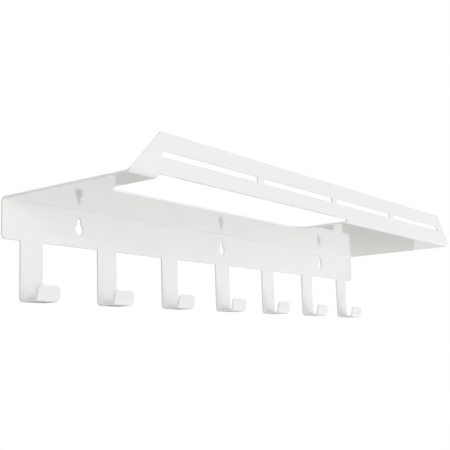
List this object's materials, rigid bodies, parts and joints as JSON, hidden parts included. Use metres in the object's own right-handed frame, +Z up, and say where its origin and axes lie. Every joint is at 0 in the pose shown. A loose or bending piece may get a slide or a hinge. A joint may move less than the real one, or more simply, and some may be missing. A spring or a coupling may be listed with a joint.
{
  "type": "wall hook rack",
  "caption": "Folded sheet-steel wall rack: a keyhole back plate with a row of turned-up hooks under a shelf that has a cut-out and a slotted, raised front lip.",
  "frame": {"origin": "centre of the middle hanging hole's round end, on the wall face of the back plate", "axes": "+X along the wall to the right, +Y into the wall, +Z up"},
  "size_m": [0.7, 0.1695, 0.1405],
  "materials": {
    "powder_coat": "white polyester powder coat, gloss"
  },
  "bodies": {
    "root": {"back_plate": "powder_coat", "shelf_panel": "powder_coat", "front_lip": "powder_coat", "hook_1": "powder_coat", "hook_2": "powder_coat", "hook_3": "powder_coat", "hook_4": "powder_coat", "hook_5": "powder_coat", "hook_6": "powder_coat", "hook_7": "powder_coat"}
  },
  "joints": []
}
